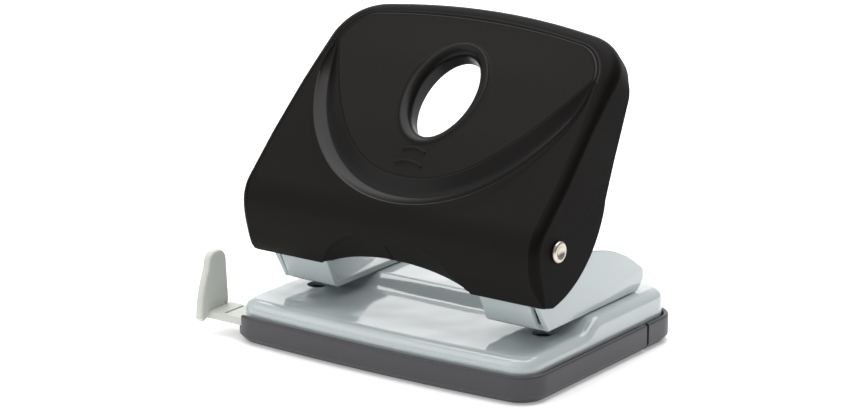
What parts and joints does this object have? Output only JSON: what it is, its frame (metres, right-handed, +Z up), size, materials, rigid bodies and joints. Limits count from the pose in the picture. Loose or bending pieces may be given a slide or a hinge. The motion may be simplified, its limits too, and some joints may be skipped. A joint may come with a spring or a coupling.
{
  "type": "hole punch",
  "caption": "Desk punch with a pressed steel base, sprung pins in folded brackets, a hood-shaped lever with thumb hole, a chip cover and a sliding paper guide.",
  "frame": {"origin": "middle of the underside of the base, on the surface the punch stands on", "axes": "+X along the line of the two holes, to the right of a user facing the paper side; +Y to the rear; +Z up"},
  "size_m": [0.1174, 0.0812, 0.0948],
  "materials": {
    "grey_paint": "light blue-grey gloss paint",
    "dark_plastic": "dark violet-grey satin plastic",
    "black_plastic": "black plastic, fine-grained with satin rims",
    "light_plastic": "light warm grey plastic",
    "nickel": "nickel plate",
    "steel": "bright turned steel",
    "spring_steel": "drawn spring wire"
  },
  "bodies": {
    "base": {"base_plate": "grey_paint", "tray_rear_band": "dark_plastic", "guide_channel": "dark_plastic", "bracket_left": "grey_paint", "bracket_right": "grey_paint", "bracket_rivet_left_front": "nickel", "bracket_rivet_left_rear": "nickel", "bracket_rivet_right_front": "nickel", "bracket_rivet_right_rear": "nickel", "die_plate_left": "steel", "die_plate_right": "steel", "pivot_rivet_left": "nickel", "pivot_rivet_right": "nickel", "pivot_washer_left": "nickel", "pivot_washer_right": "nickel", "punch_spring_left": "spring_steel", "punch_spring_right": "spring_steel"},
    "lever": {"lever_cover": "black_plastic", "press_frame": "steel"},
    "pin_left": {"punch_pin_left": "steel", "spring_clip_left": "steel"},
    "pin_right": {"punch_pin_right": "steel", "spring_clip_right": "steel"},
    "guide": {"paper_guide": "light_plastic"},
    "tray": {"chip_tray": "dark_plastic"}
  },
  "joints": [
    {"name": "lever_hinge", "type": "hinge", "parent": "base", "child": "lever", "pos_m": [0, -0.0233, 0.0413], "axis": [-1, 0, 0], "range_deg": [0, 33], "stiffness_Nm_per_rad": 0.464, "springref_deg": -15.64},
    {"name": "pin_slide_left", "type": "slide", "parent": "base", "child": "pin_left", "axis": [0, 0, -1], "range_m": [0, 0.0064], "stiffness_N_per_m": 0.02, "springref_m": -2.5376, "deforming": ["punch_spring_left"]},
    {"name": "pin_slide_right", "type": "slide", "parent": "base", "child": "pin_right", "axis": [0, 0, -1], "range_m": [0, 0.0064], "stiffness_N_per_m": 0.02, "springref_m": -2.5376, "deforming": ["punch_spring_right"]},
    {"name": "guide_slide", "type": "slide", "parent": "base", "child": "guide", "axis": [-1, 0, 0], "range_m": [0, 0.087]},
    {"name": "tray_hinge", "type": "hinge", "parent": "base", "child": "tray", "pos_m": [0, 0.02285, 0], "axis": [1, 0, 0], "range_deg": [0, 60]}
  ],
  "couplings": [
    {"joint": "pin_slide_left", "follows": "lever_hinge", "m_per_rad": 0.011},
    {"joint": "pin_slide_right", "follows": "lever_hinge", "m_per_rad": 0.011}
  ]
}
